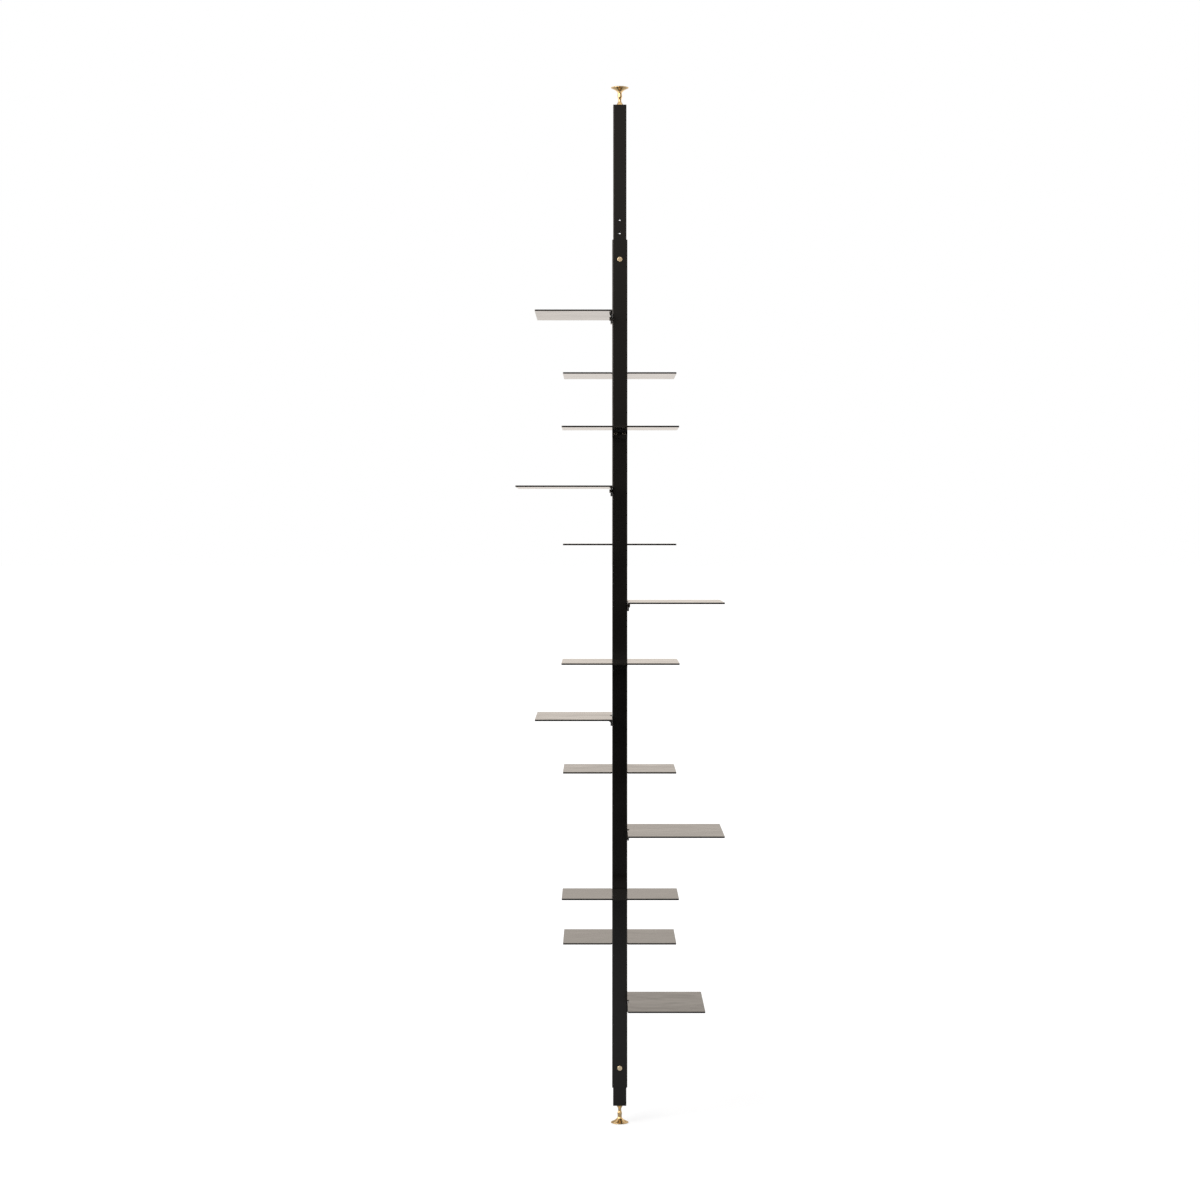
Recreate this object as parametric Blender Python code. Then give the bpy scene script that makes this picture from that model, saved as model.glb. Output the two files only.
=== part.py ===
"""Floor-to-ceiling etagere: folded metal shelves screwed to the four faces of a telescoping square post.

Turned brass jack feet at both ends wedge the post between floor and ceiling. Units are metres and +Z is up.
The origin is where the post's axis meets the floor, and -Y is the front.
"""

import math

import bmesh
import bpy
from mathutils import Matrix

# Clearances
TOUCH_GAP = 0.0003
SLIDE_GAP = 0.0005

# Post: a square tube, as long as the stack of shelves and the stretches below and above it
POST_SIDE = 0.040
POST_WALL = 0.002
POST_CORNER = 0.003
POST_BELOW_SHELVES = 0.224
POST_ABOVE_SHELVES = 0.194

# Extensions: thinner tubes that slide in the post's ends and are locked at one of their holes
EXTENSION_WALL = 0.002
EXTENSION_CORNER = 0.0025
INSIDE_CORNER = 0.0008
TOP_SHOWN = 0.354
BOTTOM_SHOWN = 0.0486
LOCK_INSET = 0.052
LOCK_PITCH = 0.035
LOCK_END_MARGIN = 0.008
TOP_HOLES_OUTWARD = 3
BOTTOM_HOLES_OUTWARD = 1
HOLES_INWARD = 2

# Lock screws: slotted cheese heads
LOCK_SHANK = 0.006
LOCK_HEAD = 0.013
LOCK_HEAD_HEIGHT = 0.0045
LOCK_HEAD_ROUND = 0.001
SLOT_WIDTH = 0.0018
SLOT_DEPTH = 0.0018

# Shelves: a plate with a tab folded down at the middle of its inner edge
SHELF_PITCH = 0.151
SHELF_WIDTH = 0.300
LONG_PROJECTION = 0.250
SHORT_PROJECTION = 0.200
SHEET = 0.004
BEND_RADIUS = 0.003
PLATE_CORNER = 0.003
TAB_DROP = 0.026
TAB_CORNER = 0.004
RELIEF_WIDTH = 0.002

# Shelf screws: button heads with a hex socket
SCREW_SHANK = 0.005
SCREW_HEAD = 0.0095
SCREW_HEAD_HEIGHT = 0.0028
SCREW_RIM = 0.0009
SCREW_SPACING = 0.022
SCREW_DROP = 0.0122
SOCKET_ACROSS_FLATS = 0.003
SOCKET_DEPTH = 0.0015
SOCKET_SIDES = 6
COLLAR_WALL = 0.0018
COLLAR_LENGTH = 0.005

# Jack feet: a nut on the tube's end, a baluster stem, a flared disc and its pad
STUD = 0.006
STUD_INSIDE = 0.035
PLUG_DEPTH = 0.020
NUT_HEIGHT = 0.009
NUT_BASE = 0.018
NUT_BASE_EDGE = 0.0012
NUT_TIP = 0.0092
NECK = 0.0085
NECK_LENGTH = 0.005
BULGE = 0.012
BULGE_LENGTH = 0.0164
WAIST = 0.0106
FLARE_HEIGHT = 0.0146
FLARE_CURVE = 1.6
DISC = 0.047
DISC_EDGE = 0.002
PAD_RIM = 0.0035
PAD_RECESS = 0.001
PAD_PROUD = 0.0008

# The post face that each shelf hangs on and how far it reaches, from the top down
SHELF_ORDER = (
    ("left", SHORT_PROJECTION),
    ("back", LONG_PROJECTION),
    ("front", SHORT_PROJECTION),
    ("left", LONG_PROJECTION),
    ("back", SHORT_PROJECTION),
    ("right", LONG_PROJECTION),
    ("front", LONG_PROJECTION),
    ("left", SHORT_PROJECTION),
    ("back", LONG_PROJECTION),
    ("right", LONG_PROJECTION),
    ("front", SHORT_PROJECTION),
    ("back", LONG_PROJECTION),
    ("right", SHORT_PROJECTION),
)
FACE_ANGLE = {"right": 0.0, "back": math.pi / 2, "left": math.pi, "front": -math.pi / 2}

# Facets
CORNER_STEPS = 3
BEND_STEPS = 4
DOME_STEPS = 2
HOLE_SIDES = 10
LOCK_SIDES = 16
TURNED_SIDES = 24
CURVE_STEPS = 5
SHARP_ANGLE = math.radians(30)
CUTTER_REACH = 0.002
MERGE_DISTANCE = 1e-6

# Sizes and places that follow from the ones above
EXTENSION_SIDE = POST_SIDE - 2 * POST_WALL - 2 * SLIDE_GAP
POST_LENGTH = POST_BELOW_SHELVES + SHELF_PITCH * (len(SHELF_ORDER) - 1) + POST_ABOVE_SHELVES
STEM_LENGTH = NECK_LENGTH + BULGE_LENGTH + FLARE_HEIGHT + DISC_EDGE
FOOT_HEIGHT = 2 * TOUCH_GAP + NUT_HEIGHT + STEM_LENGTH + PAD_PROUD
POST_BOTTOM = FOOT_HEIGHT + BOTTOM_SHOWN
POST_TOP = POST_BOTTOM + POST_LENGTH
TOTAL_HEIGHT = POST_TOP + TOP_SHOWN + FOOT_HEIGHT
TOP_SHELF = POST_TOP - POST_ABOVE_SHELVES
LOCK_HOLE = LOCK_SHANK + 2 * TOUCH_GAP
SCREW_HOLE = SCREW_SHANK + 2 * TOUCH_GAP
STUD_HOLE = STUD + 2 * TOUCH_GAP


def clear_scene():
    for obj in list(bpy.data.objects):
        bpy.data.objects.remove(obj, do_unlink=True)


def make_material(name, colour, roughness, metallic=0.0):
    material = bpy.data.materials.new(name)
    material.use_nodes = True
    shader = material.node_tree.nodes["Principled BSDF"]
    shader.inputs["Base Color"].default_value = (*colour, 1.0)
    shader.inputs["Roughness"].default_value = roughness
    shader.inputs["Metallic"].default_value = metallic
    return material


def place(name, mesh, material, parent=None, location=(0, 0, 0), rotation=(0, 0, 0)):
    """A new object of this mesh, placed in its parent's frame."""
    if not mesh.materials:
        mesh.materials.append(material)
    obj = bpy.data.objects.new(name, mesh)
    bpy.context.scene.collection.objects.link(obj)
    obj.parent = parent
    obj.location = location
    obj.rotation_euler = rotation
    return obj


def to_mesh(bm, name):
    """The finished mesh, smooth apart from its sharp edges."""
    bmesh.ops.recalc_face_normals(bm, faces=bm.faces)
    mesh = bpy.data.meshes.new(name)
    bm.to_mesh(mesh)
    bm.free()
    mesh.shade_smooth()
    mesh.set_sharp_from_angle(angle=SHARP_ANGLE)
    return mesh


def boolean(obj, operation, mesh, solver="EXACT"):
    """Cuts this mesh out of the object, or joins it on. The mesh lies in the object's own frame."""
    helper = bpy.data.objects.new(mesh.name, mesh)
    bpy.context.scene.collection.objects.link(helper)
    helper.parent = obj
    helper.hide_render = True
    helper.display_type = "WIRE"
    modifier = obj.modifiers.new(mesh.name, "BOOLEAN")
    modifier.operation = operation
    modifier.solver = solver
    modifier.object = helper


def baked(obj):
    """The object's mesh with its modifiers applied, for copies to share. The object and its helpers go."""
    bpy.context.view_layer.update()
    graph = bpy.context.evaluated_depsgraph_get()
    mesh = bpy.data.meshes.new_from_object(obj.evaluated_get(graph))
    for used in (*obj.children, obj):
        bpy.data.objects.remove(used, do_unlink=True)
    return mesh


def arc(centre, radius, start, end, steps):
    """Points on an arc, ends included, between two angles in degrees."""
    turns = [math.radians(start + (end - start) * i / steps) for i in range(steps + 1)]
    return [(centre[0] + radius * math.cos(a), centre[1] + radius * math.sin(a)) for a in turns]


def rounded_rectangle(x_low, x_high, y_low, y_high, radius):
    """The outline's points, counterclockwise from the corner of both low values."""
    inner = (
        (x_low + radius, y_low + radius, 180),
        (x_high - radius, y_low + radius, 270),
        (x_high - radius, y_high - radius, 0),
        (x_low + radius, y_high - radius, 90),
    )
    return [p for x, y, a in inner for p in arc((x, y), radius, a, a + 90, CORNER_STEPS)]


def rounded_square(side, radius):
    return rounded_rectangle(-side / 2, side / 2, -side / 2, side / 2, radius)


def loop_edges(bm, points):
    """A closed loop of edges through these points."""
    verts = [bm.verts.new(p) for p in points]
    return [bm.edges.new((a, b)) for a, b in zip(verts, verts[1:] + verts[:1])]


def tube_mesh(name, outer, inner, length):
    """A straight tube along +Z between two outlines with as many points."""
    bm = bmesh.new()
    edges = loop_edges(bm, [(x, y, 0) for x, y in outer]) + loop_edges(bm, [(x, y, 0) for x, y in inner])
    bmesh.ops.bridge_loops(bm, edges=edges)
    extruded = bmesh.ops.extrude_face_region(bm, geom=bm.faces[:])["geom"]
    raised = [item for item in extruded if isinstance(item, bmesh.types.BMVert)]
    bmesh.ops.translate(bm, verts=raised, vec=(0, 0, length))
    return to_mesh(bm, name)


def square_tube_mesh(name, side, wall, corner, length):
    outer, inner = rounded_square(side, corner), rounded_square(side - 2 * wall, INSIDE_CORNER)
    return tube_mesh(name, outer, inner, length)


def turned_mesh(name, profile, sides, closed=False):
    """A profile of (radius, z) points turned about Z. A closed profile makes a ring."""
    bm = bmesh.new()
    verts = [bm.verts.new((radius, 0, z)) for radius, z in profile]
    pairs = zip(verts, verts[1:] + verts[:1] if closed else verts[1:])
    edges = [bm.edges.new(pair) for pair in pairs]
    bmesh.ops.spin(bm, geom=verts + edges, axis=(0, 0, 1), angle=2 * math.pi, steps=sides, use_merge=True)
    bmesh.ops.remove_doubles(bm, verts=bm.verts, dist=MERGE_DISTANCE)
    return to_mesh(bm, name)


def rods_mesh(name, frames, diameter, low, high, sides):
    """Round rods along the Z axes of these frames, from low to high on each."""
    bm = bmesh.new()
    middle = Matrix.Translation((0, 0, (low + high) / 2))
    for frame in frames:
        bmesh.ops.create_cone(
            bm, cap_ends=True, segments=sides, radius1=diameter / 2, radius2=diameter / 2,
            depth=high - low, matrix=frame @ middle,
        )
    return to_mesh(bm, name)


def shelf_height(index):
    return TOP_SHELF - SHELF_PITCH * index


def shelf_frame(index):
    """The shelf's frame: x leads away from the post's face, and z = 0 is the plate's top."""
    turn = Matrix.Rotation(FACE_ANGLE[SHELF_ORDER[index][0]], 4, "Z")
    return Matrix.Translation((0, 0, shelf_height(index))) @ turn @ Matrix.Translation((POST_SIDE / 2, 0, 0))


def screw_sides():
    return (("a", -SCREW_SPACING / 2), ("b", SCREW_SPACING / 2))


def screw_frame(depth, side):
    """A screw's frame in its shelf's frame: z leads out along the screw, from a depth off the post's face."""
    return Matrix.Translation((depth, side, -SCREW_DROP)) @ Matrix.Rotation(math.pi / 2, 4, "Y")


def front_frame(z):
    """A frame on the post's front face whose z leads out of the face."""
    return Matrix.Translation((0, -POST_SIDE / 2, z)) @ Matrix.Rotation(math.pi / 2, 4, "X")


def lock_heights():
    return {"top": POST_TOP - LOCK_INSET, "bottom": POST_BOTTOM + LOCK_INSET}


def make_post(material):
    """The square post, with the threaded collars of the shelf screws drawn inwards from its walls."""
    mesh = square_tube_mesh("main_post", POST_SIDE, POST_WALL, POST_CORNER, POST_LENGTH)
    post = place("main_post", mesh, material, location=(0, 0, POST_BOTTOM))
    lower = Matrix.Translation((0, 0, -POST_BOTTOM))
    screws = [
        lower @ shelf_frame(index) @ screw_frame(0, side)
        for index in range(len(SHELF_ORDER))
        for _, side in screw_sides()
    ]
    locks = [lower @ front_frame(z) for z in lock_heights().values()]
    end = -POST_WALL - COLLAR_LENGTH
    lock_end = -POST_WALL - CUTTER_REACH
    collar = SCREW_HOLE + 2 * COLLAR_WALL
    collars = rods_mesh("collars", screws, collar, end, -POST_WALL / 2, HOLE_SIDES)
    screw_bores = rods_mesh("screw_bores", screws, SCREW_HOLE, end - CUTTER_REACH, CUTTER_REACH, HOLE_SIDES)
    lock_bores = rods_mesh("lock_bores", locks, LOCK_HOLE, lock_end, CUTTER_REACH, LOCK_SIDES)
    # The exact solver leaves a sliver open in walls this long and thin
    for operation, mesh in (("UNION", collars), ("DIFFERENCE", screw_bores), ("DIFFERENCE", lock_bores)):
        boolean(post, operation, mesh, solver="MANIFOLD")
    return post


def shelf_skin(bm, projection):
    """A shelf's upper skin: the plate, the bend along the tab's root and the tab with its screw holes."""
    inner, outer = TOUCH_GAP, TOUCH_GAP + projection
    bend = BEND_RADIUS + SHEET
    root, half_tab = inner + bend, POST_SIDE / 2
    plate = rounded_rectangle(inner, outer, -SHELF_WIDTH / 2, SHELF_WIDTH / 2, PLATE_CORNER)
    relief = half_tab + RELIEF_WIDTH
    notch = [
        (inner, relief), (root, relief), (root, half_tab),
        (root, -half_tab), (root, -relief), (inner, -relief),
    ]
    verts = [bm.verts.new((x, y, 0)) for x, y in plate + notch]
    face = bm.faces.new(verts)
    fold = bm.edges.get(verts[len(plate) + 2:len(plate) + 4])
    bent = bmesh.ops.spin(
        bm, geom=[fold, *fold.verts], cent=(root, 0, -bend), axis=(0, -1, 0),
        angle=math.pi / 2, steps=BEND_STEPS,
    )["geom_last"]
    tab_top = next(item for item in bent if isinstance(item, bmesh.types.BMEdge))
    fill_tab(bm, tab_top, inner, half_tab)
    bmesh.ops.recalc_face_normals(bm, faces=bm.faces)
    if face.normal.z < 0:
        bmesh.ops.reverse_faces(bm, faces=bm.faces)


def fill_tab(bm, top, x, half_tab):
    """Fills the tab's outline below its top edge, leaving the two screw holes open."""
    left, right = sorted(top.verts, key=lambda v: v.co.y)
    low = -TAB_DROP + TAB_CORNER
    corners = arc((-half_tab + TAB_CORNER, low), TAB_CORNER, 180, 270, CORNER_STEPS)
    corners += arc((half_tab - TAB_CORNER, low), TAB_CORNER, 270, 360, CORNER_STEPS)
    rim = [left, *(bm.verts.new((x, y, z)) for y, z in corners), right]
    edges = [top, *(bm.edges.new(pair) for pair in zip(rim, rim[1:]))]
    for _, side in screw_sides():
        hole = arc((side, -SCREW_DROP), SCREW_HOLE / 2, 0, 360, HOLE_SIDES)[:-1]
        edges += loop_edges(bm, [(x, y, z) for y, z in hole])
    bmesh.ops.triangle_fill(bm, edges=edges, use_beauty=True)


def shelf_mesh(name, projection):
    """A folded shelf at its full sheet thickness."""
    bm = bmesh.new()
    shelf_skin(bm, projection)
    skin = bpy.data.meshes.new(name)
    bm.to_mesh(skin)
    bm.free()
    sheet = bpy.data.objects.new(name, skin)
    bpy.context.scene.collection.objects.link(sheet)
    solidify = sheet.modifiers.new("sheet", "SOLIDIFY")
    solidify.thickness = SHEET
    solidify.offset = -1.0
    solidify.use_even_offset = True
    mesh = baked(sheet)
    mesh.shade_smooth()
    mesh.set_sharp_from_angle(angle=SHARP_ANGLE)
    return mesh


def dome(radius, foot, height, tip):
    """Points of an elliptic dome's profile, from its foot in to the tip radius."""
    end = math.acos(tip / radius)
    turns = [end * i / DOME_STEPS for i in range(DOME_STEPS + 1)]
    return [(radius * math.cos(a), foot + (height - foot) * math.sin(a) / math.sin(end)) for a in turns]


def screw_mesh(material):
    """A button-head screw, its head's seat at z = 0 and its shank below."""
    length = TOUCH_GAP + SHEET + TOUCH_GAP + POST_WALL + COLLAR_LENGTH
    profile = [(0, -length), (SCREW_SHANK / 2, -length), (SCREW_SHANK / 2, 0), (SCREW_HEAD / 2, 0)]
    profile += dome(SCREW_HEAD / 2, SCREW_RIM, SCREW_HEAD_HEIGHT, SOCKET_ACROSS_FLATS)
    profile.append((0, SCREW_HEAD_HEIGHT))
    screw = place("shelf_screw", turned_mesh("shelf_screw", profile, HOLE_SIDES), material)
    across_corners = SOCKET_ACROSS_FLATS / math.cos(math.pi / SOCKET_SIDES)
    bottom, top = SCREW_HEAD_HEIGHT - SOCKET_DEPTH, SCREW_HEAD_HEIGHT + CUTTER_REACH
    boolean(screw, "DIFFERENCE", rods_mesh("socket", [Matrix()], across_corners, bottom, top, SOCKET_SIDES))
    return baked(screw)


def make_shelves(shelf_material, screw_material):
    """Every shelf on its face of the post, with its two screws."""
    plates = {p: shelf_mesh(f"shelf_{p:.2f}", p) for p in (LONG_PROJECTION, SHORT_PROJECTION)}
    screws = screw_mesh(screw_material)
    seat = 2 * TOUCH_GAP + SHEET
    for index, (_, projection) in enumerate(SHELF_ORDER):
        name = f"shelf_{index + 1:02d}"
        shelf = place(name, plates[projection], shelf_material)
        shelf.matrix_local = shelf_frame(index)
        for letter, side in screw_sides():
            screw = place(f"{name}_screw_{letter}", screws, screw_material, parent=shelf)
            screw.matrix_local = screw_frame(seat, side)


def make_lock_screws(material):
    """A slotted screw near each end of the post, backed off so that its tip just clears the tube inside."""
    shank, head = LOCK_SHANK / 2, LOCK_HEAD / 2
    profile = [(0, -POST_WALL - SLIDE_GAP), (shank, -POST_WALL - SLIDE_GAP), (shank, 0), (head, 0)]
    round_centre = (head - LOCK_HEAD_ROUND, LOCK_HEAD_HEIGHT - LOCK_HEAD_ROUND)
    profile += arc(round_centre, LOCK_HEAD_ROUND, 0, 90, CORNER_STEPS)
    profile.append((0, LOCK_HEAD_HEIGHT))
    out = Matrix.Translation((0, 0, TOUCH_GAP))
    for end, z in lock_heights().items():
        name = f"{end}_lock_screw"
        screw = place(name, turned_mesh(name, profile, LOCK_SIDES), material)
        screw.matrix_local = front_frame(z) @ out
        boolean(screw, "DIFFERENCE", slot_mesh(f"{name}_slot"))


def slot_mesh(name):
    """The driver's slot across a lock screw's head, upright on the post."""
    bm = bmesh.new()
    size = (SLOT_WIDTH, LOCK_HEAD + 2 * CUTTER_REACH, SLOT_DEPTH + CUTTER_REACH)
    middle = Matrix.Translation((0, 0, LOCK_HEAD_HEIGHT - SLOT_DEPTH + size[2] / 2))
    bmesh.ops.create_cube(bm, size=1.0, matrix=middle @ Matrix.Diagonal((*size, 1.0)))
    return to_mesh(bm, name)


def swell(low, high, start, length, steps):
    """Points that ease from one radius to another along -Z, as a turner's ogee does."""
    shares = [i / steps for i in range(1, steps + 1)]
    return [(low + (high - low) * (1 - math.cos(math.pi * s)) / 2, start - length * s) for s in shares]


def flare(narrow, wide, start, length, steps):
    """Points of a hollowed cone that opens along -Z. A curve of 1 would be a straight cone."""
    shares = [i / steps for i in range(1, steps + 1)]
    return [(narrow + (wide - narrow) * s ** FLARE_CURVE, start - length * s) for s in shares]


def nut_profile():
    """The jack nut from the tube's end down: a short edge, then a cone around the stud."""
    top, tip, bore, base = -TOUCH_GAP, -TOUCH_GAP - NUT_HEIGHT, STUD_HOLE / 2, NUT_BASE / 2
    return [(bore, top), (base, top), (base, top - NUT_BASE_EDGE), (NUT_TIP / 2, tip), (bore, tip)]


def foot_profile():
    """The foot from the stud's tip down: stud, neck, bulge, waist, flared disc and the pad's recess."""
    shoulder = -2 * TOUCH_GAP - NUT_HEIGHT
    neck_end = shoulder - NECK_LENGTH
    middle, waist = neck_end - BULGE_LENGTH / 2, neck_end - BULGE_LENGTH
    brim = waist - FLARE_HEIGHT
    base = brim - DISC_EDGE
    recess, recess_top = DISC / 2 - PAD_RIM, base + PAD_RECESS
    profile = [(0, STUD_INSIDE), (STUD / 2, STUD_INSIDE), (STUD / 2, shoulder), (NECK / 2, shoulder)]
    profile.append((NECK / 2, neck_end))
    profile += swell(NECK / 2, BULGE / 2, neck_end, BULGE_LENGTH / 2, CURVE_STEPS)
    profile += swell(BULGE / 2, WAIST / 2, middle, BULGE_LENGTH / 2, CURVE_STEPS)
    profile += flare(WAIST / 2, DISC / 2, waist, FLARE_HEIGHT, CURVE_STEPS)
    return profile + [(DISC / 2, base), (recess, base), (recess, recess_top), (0, recess_top)]


def pad_profile():
    """The pad in the disc's recess, standing proud of the disc."""
    radius, low = DISC / 2 - PAD_RIM - TOUCH_GAP, -FOOT_HEIGHT
    top = low + PAD_PROUD + PAD_RECESS - TOUCH_GAP
    return [(0, low), (radius, low), (radius, top), (0, top)]


def plug_mesh(name):
    """A square plug flush with the tube's end, bored for the stud."""
    side = EXTENSION_SIDE - 2 * EXTENSION_WALL - 2 * TOUCH_GAP
    outer = rounded_square(side, INSIDE_CORNER)
    count = len(outer)
    start = math.degrees(math.atan2(outer[0][1], outer[0][0]))
    bore = arc((0, 0), STUD_HOLE / 2, start, start + 360, count)[:-1]
    return tube_mesh(name, outer, bore, PLUG_DEPTH)


def make_extension(end, shown, holes_outward, location, rotation, materials):
    """A tube with its plug, jack nut and foot. z = 0 is the tube's outer end, and z leads into the post."""
    lock = shown + LOCK_INSET
    length = lock + LOCK_PITCH * HOLES_INWARD + LOCK_END_MARGIN
    name = f"{end}_extension"
    mesh = square_tube_mesh(name, EXTENSION_SIDE, EXTENSION_WALL, EXTENSION_CORNER, length)
    tube = place(name, mesh, materials["lacquer"], location=location, rotation=rotation)
    heights = [lock + LOCK_PITCH * step for step in range(-holes_outward, HOLES_INWARD + 1)]
    frames = [Matrix.Translation((0, 0, z)) @ Matrix.Rotation(math.pi / 2, 4, "X") for z in heights]
    reach = EXTENSION_SIDE / 2 + CUTTER_REACH
    boolean(tube, "DIFFERENCE", rods_mesh(f"{end}_holes", frames, LOCK_HOLE, -reach, reach, LOCK_SIDES))
    place(f"{end}_end_plug", plug_mesh(f"{end}_end_plug"), materials["lacquer"], parent=tube)
    nut = turned_mesh(f"{end}_jack_nut", nut_profile(), TURNED_SIDES, closed=True)
    place(f"{end}_jack_nut", nut, materials["brass"], parent=tube)
    foot = turned_mesh(f"{end}_foot", foot_profile(), TURNED_SIDES)
    foot = place(f"{end}_foot", foot, materials["brass"], parent=tube)
    pad = turned_mesh(f"{end}_foot_pad", pad_profile(), TURNED_SIDES)
    place(f"{end}_foot_pad", pad, materials["pad"], parent=foot)


def main():
    clear_scene()
    materials = {
        "lacquer": make_material("black_lacquer", (0.010, 0.010, 0.010), 0.40),
        "shelf": make_material("black_shelf_lacquer", (0.012, 0.011, 0.010), 0.25),
        "screw": make_material("black_screw", (0.020, 0.020, 0.020), 0.35, metallic=1.0),
        "brass": make_material("polished_brass", (0.80, 0.52, 0.20), 0.15, metallic=1.0),
        "pad": make_material("dark_rubber", (0.03, 0.03, 0.03), 0.80),
    }
    make_post(materials["lacquer"])
    make_shelves(materials["shelf"], materials["screw"])
    make_lock_screws(materials["brass"])
    make_extension("bottom", BOTTOM_SHOWN, BOTTOM_HOLES_OUTWARD, (0, 0, FOOT_HEIGHT), (0, 0, 0), materials)
    top = (0, 0, TOTAL_HEIGHT - FOOT_HEIGHT)
    make_extension("top", TOP_SHOWN, TOP_HOLES_OUTWARD, top, (math.pi, 0, 0), materials)


main()
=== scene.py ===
import math

import bmesh
import bpy
from mathutils import Matrix, Vector


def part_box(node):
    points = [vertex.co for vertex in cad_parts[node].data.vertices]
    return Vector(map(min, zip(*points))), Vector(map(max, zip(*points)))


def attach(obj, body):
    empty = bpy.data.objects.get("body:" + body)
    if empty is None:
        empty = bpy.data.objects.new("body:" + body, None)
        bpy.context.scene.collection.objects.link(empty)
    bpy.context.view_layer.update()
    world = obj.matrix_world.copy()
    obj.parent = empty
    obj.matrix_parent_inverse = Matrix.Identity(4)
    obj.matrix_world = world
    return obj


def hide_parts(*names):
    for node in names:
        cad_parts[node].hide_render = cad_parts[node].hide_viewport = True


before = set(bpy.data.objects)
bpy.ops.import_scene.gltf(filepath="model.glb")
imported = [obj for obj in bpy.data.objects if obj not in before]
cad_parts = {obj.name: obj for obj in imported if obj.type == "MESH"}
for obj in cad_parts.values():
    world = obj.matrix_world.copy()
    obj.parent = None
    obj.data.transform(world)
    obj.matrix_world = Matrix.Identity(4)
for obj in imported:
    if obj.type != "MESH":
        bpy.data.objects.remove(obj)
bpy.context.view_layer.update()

# Shapes, in metres: the values that the solids were drawn from
TOUCH_GAP = 0.0003
POST_SIDE = 0.040
EXTENSION_SIDE = 0.035
EXTENSION_WALL = 0.002
EXTENSION_CORNER = 0.0025
INSIDE_CORNER = 0.0008
LOCK_PITCH = 0.035
LOCK_SHANK = 0.006
LOCK_HEAD = 0.013
LOCK_HEAD_HEIGHT = 0.0045
LOCK_HEAD_ROUND = 0.001
LOCK_TIP = 0.0025
SLOT_WIDTH = 0.0018
SLOT_DEPTH = 0.0018
SHELF_WIDTH = 0.300
SHEET = 0.004
BEND_RADIUS = 0.003
PLATE_CORNER = 0.003
TAB_DROP = 0.026
TAB_CORNER = 0.004
RELIEF_WIDTH = 0.002
SCREW_SHANK = 0.005
SCREW_HEAD = 0.0095
SCREW_HEAD_HEIGHT = 0.0028
SCREW_RIM = 0.0009
SCREW_SPACING = 0.022
SCREW_DROP = 0.0122
SCREW_LENGTH = 0.0116
SOCKET_ACROSS_FLATS = 0.003
SOCKET_DEPTH = 0.0015
SOCKET_SIDES = 6
STUD = 0.006
STUD_INSIDE = 0.035
NUT_HEIGHT = 0.009
NUT_BASE = 0.018
NUT_BASE_EDGE = 0.0012
NUT_TIP = 0.0092
NECK = 0.0085
NECK_LENGTH = 0.005
BULGE = 0.012
BULGE_LENGTH = 0.0164
WAIST = 0.0106
FLARE_HEIGHT = 0.0146
DISC = 0.047
DISC_EDGE = 0.002
PAD_RIM = 0.0035
PAD_RECESS = 0.001

# The lock holes of each tube, in steps of the pitch up from its lock screw
LOCK_STEPS = {"top": range(-2, 4), "bottom": range(-1, 3)}

# Finer shape of the feet: the studs' thread, a deeper hollow in the flare and a half-round rim
STUD_PITCH = 0.001
STUD_THREAD = 0.0006
FLARE_CURVE = 2.1
RIM_START_DEGREES = 65

# Fineness of the surfaces
TURNED_SIDES = 48
CURVE_STEPS = 14
CORNER_STEPS = 8
BEND_STEPS = 10
HOLE_SIDES = 32
DOME_STEPS = 8
THREAD_ROWS = 6
EDGE_ANGLE = math.radians(30)
SHARP_ANGLE = math.radians(50)
EDGE_STEPS = 2
SHEET_EDGE_STEPS = 3
SHEET_EDGE = 0.00025
TUBE_EDGE = 0.0003
BRASS_EDGE = 0.0003
SCREW_EDGE = 0.00015
CUTTER_REACH = 0.002
WELD_DISTANCE = 1e-6
SIZE_DIGITS = 4

# Finishes: the two tones that each one drifts between, and the usual span of a noise
POST_TONES = ((0.0028, 0.0027, 0.0025), (0.0040, 0.0038, 0.0036))
SHELF_TONES = ((0.010, 0.0095, 0.009), (0.014, 0.013, 0.012))
SCREW_TONES = ((0.130, 0.118, 0.098), (0.190, 0.172, 0.145))
BRASS_TONES = ((0.82, 0.58, 0.28), (0.88, 0.66, 0.36))
PALE_BRASS_TONES = ((0.95, 0.78, 0.52), (0.98, 0.83, 0.58))
PAD_TONES = ((0.022, 0.022, 0.022), (0.038, 0.037, 0.036))
NOISE_SPAN = (0.3, 0.7)

# The nodes that keep their solids' shape, with their finish
KEPT_NODES = {
    "main_post": "post_lacquer",
    "top_end_plug": "post_lacquer",
    "bottom_end_plug": "post_lacquer",
    "top_foot_pad": "pad",
    "bottom_foot_pad": "pad",
}

# Room that the surfaces see: levels by a direction's height, 0 at the horizon and 1 straight up
FRONT_LEVELS = ((0.035, 0.03), (0.085, 0.66), (0.35, 0.58), (0.80, 0.95))
BACK_LEVELS = (
    (0.066, 1.0), (0.092, 0.76), (0.13, 0.77), (0.16, 0.90), (0.195, 0.66), (0.45, 0.25), (0.85, 0.95),
)
FRONT_TO_BACK = (-0.2, 0.55)
ROOM_COLOUR = (1.0, 0.91, 0.82)
WHITE = (1.0, 1.0, 1.0)

# Floor: its colour, the glow that the camera sees added to it, and painted reflection light: a glow that
# only glossy surfaces see
FLOOR_COLOUR = (0.42, 0.457, 0.508)
FLOOR_GLOW_NEAR = 0.66
FLOOR_GLOW_FAR = 0.80
FLOOR_GLOW_SPAN = (0.3, 4.0)
# Painted reflection light: how bright the floor glows for glossy rays only, and the spans in metres over
# which that glow rises behind and aside
FLOOR_REFLECTED_GLOW = 0.70
REFLECTED_GLOW_BEHIND = (5.0, 18.0)
REFLECTED_GLOW_ASIDE = (1.0, 3.0)
FLOOR_WIDTH = 120.0
FLOOR_FRONT = 4.0
FLOOR_BACK = 120.0

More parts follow.
